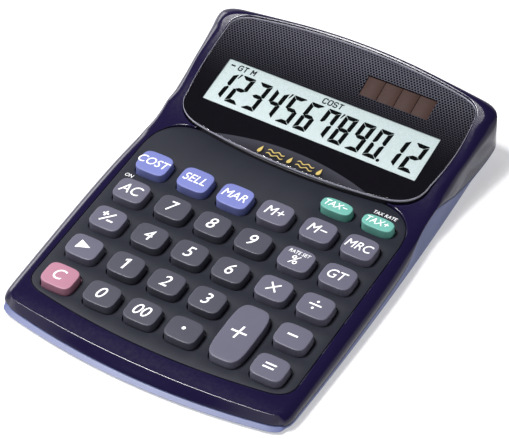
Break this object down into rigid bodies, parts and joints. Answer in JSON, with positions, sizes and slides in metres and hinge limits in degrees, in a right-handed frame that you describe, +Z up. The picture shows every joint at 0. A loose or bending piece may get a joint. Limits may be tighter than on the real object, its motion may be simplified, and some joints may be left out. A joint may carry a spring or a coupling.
{
  "type": "desktop calculator",
  "caption": "Splash-proof desktop calculator with a tilted segment display, a solar cell and a sealed keyboard of rounded push keys.",
  "frame": {"origin": "on the table, below the middle of the body's outline", "axes": "+X to the user's right, +Y from the keyboard towards the display, +Z up"},
  "size_m": [0.145, 0.2003, 0.0312],
  "materials": {
    "lower_case": "satin moulded, light blue-violet",
    "upper_case": "polished moulded, dark navy-violet",
    "key_panel": "fine spark-eroded texture, charcoal",
    "display_bezel": "black",
    "display_window": "polished acrylic printed black from behind, clear over the display",
    "clear_pane": "clear acrylic over the display and the solar cell",
    "lcd_glass": "pale grey-green display glass",
    "lcd_ink": "dark display segments",
    "legend": "white key print",
    "gold_print": "gold print",
    "reflector": "brushed foil",
    "inner_frame": "moulded black",
    "seal_rubber": "soft black rubber",
    "circuit_board": "green solder resist",
    "ribbon": "polyimide film",
    "solar_cell": "amorphous silicon under glass",
    "foam": "foam pad",
    "chip_resin": "glob-top resin",
    "dome_mat": "translucent silicone",
    "screws": "zinc plated",
    "button_cell": "stainless can",
    "contacts": "sprung phosphor bronze",
    "rubber_feet": "ribbed black rubber",
    "rating_label": "blank satin label",
    "key_digit": "fine moulded texture, dark grey",
    "key_function": "fine moulded texture, mid grey",
    "key_lavender": "fine moulded texture, lavender blue",
    "key_pink": "fine moulded texture, dusty pink",
    "key_teal": "fine moulded texture, teal"
  },
  "bodies": {
    "housing": {"lower_case": "lower_case", "upper_case": "upper_case", "case_gasket": "seal_rubber", "key_panel": "key_panel", "display_bezel": "display_bezel", "display_window": "display_window", "window_seal": "seal_rubber", "lcd_glass": "lcd_glass", "lcd_reflector": "reflector", "lcd_holder": "inner_frame", "zebra_strip": "seal_rubber", "display_board": "circuit_board", "display_ribbon": "ribbon", "solar_cell": "solar_cell", "solar_backing": "foam", "main_board": "circuit_board", "controller_chip": "chip_resin", "dome_mat": "dome_mat", "board_screws": "screws", "case_screws": "screws", "battery_holder": "inner_frame", "button_cell": "button_cell", "battery_contacts": "contacts", "rubber_feet": "rubber_feet", "rating_label": "rating_label"},
    "key_cost": {"key_cost": "key_lavender"},
    "key_sell": {"key_sell": "key_lavender"},
    "key_margin": {"key_margin": "key_lavender"},
    "key_m_plus": {"key_m_plus": "key_function"},
    "key_m_minus": {"key_m_minus": "key_function"},
    "key_mrc": {"key_mrc": "key_function"},
    "key_ac": {"key_ac": "key_function"},
    "key_7": {"key_7": "key_digit"},
    "key_8": {"key_8": "key_digit"},
    "key_9": {"key_9": "key_digit"},
    "key_percent": {"key_percent": "key_function"},
    "key_gt": {"key_gt": "key_function"},
    "key_sign": {"key_sign": "key_function"},
    "key_4": {"key_4": "key_digit"},
    "key_5": {"key_5": "key_digit"},
    "key_6": {"key_6": "key_digit"},
    "key_multiply": {"key_multiply": "key_function"},
    "key_divide": {"key_divide": "key_function"},
    "key_shift": {"key_shift": "key_function"},
    "key_1": {"key_1": "key_digit"},
    "key_2": {"key_2": "key_digit"},
    "key_3": {"key_3": "key_digit"},
    "key_plus": {"key_plus": "key_function"},
    "key_minus": {"key_minus": "key_function"},
    "key_clear": {"key_clear": "key_pink"},
    "key_0": {"key_0": "key_digit"},
    "key_00": {"key_00": "key_digit"},
    "key_decimal": {"key_decimal": "key_digit"},
    "key_equals": {"key_equals": "key_function"},
    "key_tax_minus": {"key_tax_minus": "key_teal"},
    "key_tax_plus": {"key_tax_plus": "key_teal"}
  },
  "joints": [
    {"name": "press_key_cost", "type": "slide", "parent": "housing", "child": "key_cost", "axis": [0, 0.0316, -0.9995], "range_m": [0, 0.0012], "stiffness_N_per_m": 600},
    {"name": "press_key_sell", "type": "slide", "parent": "housing", "child": "key_sell", "axis": [0, 0.0316, -0.9995], "range_m": [0, 0.0012], "stiffness_N_per_m": 600},
    {"name": "press_key_margin", "type": "slide", "parent": "housing", "child": "key_margin", "axis": [0, 0.0316, -0.9995], "range_m": [0, 0.0012], "stiffness_N_per_m": 600},
    {"name": "press_key_m_plus", "type": "slide", "parent": "housing", "child": "key_m_plus", "axis": [0, 0.0316, -0.9995], "range_m": [0, 0.0012], "stiffness_N_per_m": 600},
    {"name": "press_key_m_minus", "type": "slide", "parent": "housing", "child": "key_m_minus", "axis": [0, 0.0316, -0.9995], "range_m": [0, 0.0012], "stiffness_N_per_m": 600},
    {"name": "press_key_mrc", "type": "slide", "parent": "housing", "child": "key_mrc", "axis": [0, 0.0316, -0.9995], "range_m": [0, 0.0012], "stiffness_N_per_m": 600},
    {"name": "press_key_ac", "type": "slide", "parent": "housing", "child": "key_ac", "axis": [0, 0.0316, -0.9995], "range_m": [0, 0.0012], "stiffness_N_per_m": 600},
    {"name": "press_key_7", "type": "slide", "parent": "housing", "child": "key_7", "axis": [0, 0.0316, -0.9995], "range_m": [0, 0.0012], "stiffness_N_per_m": 600},
    {"name": "press_key_8", "type": "slide", "parent": "housing", "child": "key_8", "axis": [0, 0.0316, -0.9995], "range_m": [0, 0.0012], "stiffness_N_per_m": 600},
    {"name": "press_key_9", "type": "slide", "parent": "housing", "child": "key_9", "axis": [0, 0.0316, -0.9995], "range_m": [0, 0.0012], "stiffness_N_per_m": 600},
    {"name": "press_key_percent", "type": "slide", "parent": "housing", "child": "key_percent", "axis": [0, 0.0316, -0.9995], "range_m": [0, 0.0012], "stiffness_N_per_m": 600},
    {"name": "press_key_gt", "type": "slide", "parent": "housing", "child": "key_gt", "axis": [0, 0.0316, -0.9995], "range_m": [0, 0.0012], "stiffness_N_per_m": 600},
    {"name": "press_key_sign", "type": "slide", "parent": "housing", "child": "key_sign", "axis": [0, 0.0316, -0.9995], "range_m": [0, 0.0012], "stiffness_N_per_m": 600},
    {"name": "press_key_4", "type": "slide", "parent": "housing", "child": "key_4", "axis": [0, 0.0316, -0.9995], "range_m": [0, 0.0012], "stiffness_N_per_m": 600},
    {"name": "press_key_5", "type": "slide", "parent": "housing", "child": "key_5", "axis": [0, 0.0316, -0.9995], "range_m": [0, 0.0012], "stiffness_N_per_m": 600},
    {"name": "press_key_6", "type": "slide", "parent": "housing", "child": "key_6", "axis": [0, 0.0316, -0.9995], "range_m": [0, 0.0012], "stiffness_N_per_m": 600},
    {"name": "press_key_multiply", "type": "slide", "parent": "housing", "child": "key_multiply", "axis": [0, 0.0316, -0.9995], "range_m": [0, 0.0012], "stiffness_N_per_m": 600},
    {"name": "press_key_divide", "type": "slide", "parent": "housing", "child": "key_divide", "axis": [0, 0.0316, -0.9995], "range_m": [0, 0.0012], "stiffness_N_per_m": 600},
    {"name": "press_key_shift", "type": "slide", "parent": "housing", "child": "key_shift", "axis": [0, 0.0316, -0.9995], "range_m": [0, 0.0012], "stiffness_N_per_m": 600},
    {"name": "press_key_1", "type": "slide", "parent": "housing", "child": "key_1", "axis": [0, 0.0316, -0.9995], "range_m": [0, 0.0012], "stiffness_N_per_m": 600},
    {"name": "press_key_2", "type": "slide", "parent": "housing", "child": "key_2", "axis": [0, 0.0316, -0.9995], "range_m": [0, 0.0012], "stiffness_N_per_m": 600},
    {"name": "press_key_3", "type": "slide", "parent": "housing", "child": "key_3", "axis": [0, 0.0316, -0.9995], "range_m": [0, 0.0012], "stiffness_N_per_m": 600},
    {"name": "press_key_plus", "type": "slide", "parent": "housing", "child": "key_plus", "axis": [0, 0.0316, -0.9995], "range_m": [0, 0.0012], "stiffness_N_per_m": 600},
    {"name": "press_key_minus", "type": "slide", "parent": "housing", "child": "key_minus", "axis": [0, 0.0316, -0.9995], "range_m": [0, 0.0012], "stiffness_N_per_m": 600},
    {"name": "press_key_clear", "type": "slide", "parent": "housing", "child": "key_clear", "axis": [0, 0.0316, -0.9995], "range_m": [0, 0.0012], "stiffness_N_per_m": 600},
    {"name": "press_key_0", "type": "slide", "parent": "housing", "child": "key_0", "axis": [0, 0.0316, -0.9995], "range_m": [0, 0.0012], "stiffness_N_per_m": 600},
    {"name": "press_key_00", "type": "slide", "parent": "housing", "child": "key_00", "axis": [0, 0.0316, -0.9995], "range_m": [0, 0.0012], "stiffness_N_per_m": 600},
    {"name": "press_key_decimal", "type": "slide", "parent": "housing", "child": "key_decimal", "axis": [0, 0.0316, -0.9995], "range_m": [0, 0.0012], "stiffness_N_per_m": 600},
    {"name": "press_key_equals", "type": "slide", "parent": "housing", "child": "key_equals", "axis": [0, 0.0316, -0.9995], "range_m": [0, 0.0012], "stiffness_N_per_m": 600},
    {"name": "press_key_tax_minus", "type": "slide", "parent": "housing", "child": "key_tax_minus", "axis": [0, 0.0316, -0.9995], "range_m": [0, 0.0012], "stiffness_N_per_m": 600},
    {"name": "press_key_tax_plus", "type": "slide", "parent": "housing", "child": "key_tax_plus", "axis": [0, 0.0316, -0.9995], "range_m": [0, 0.0012], "stiffness_N_per_m": 600}
  ]
}
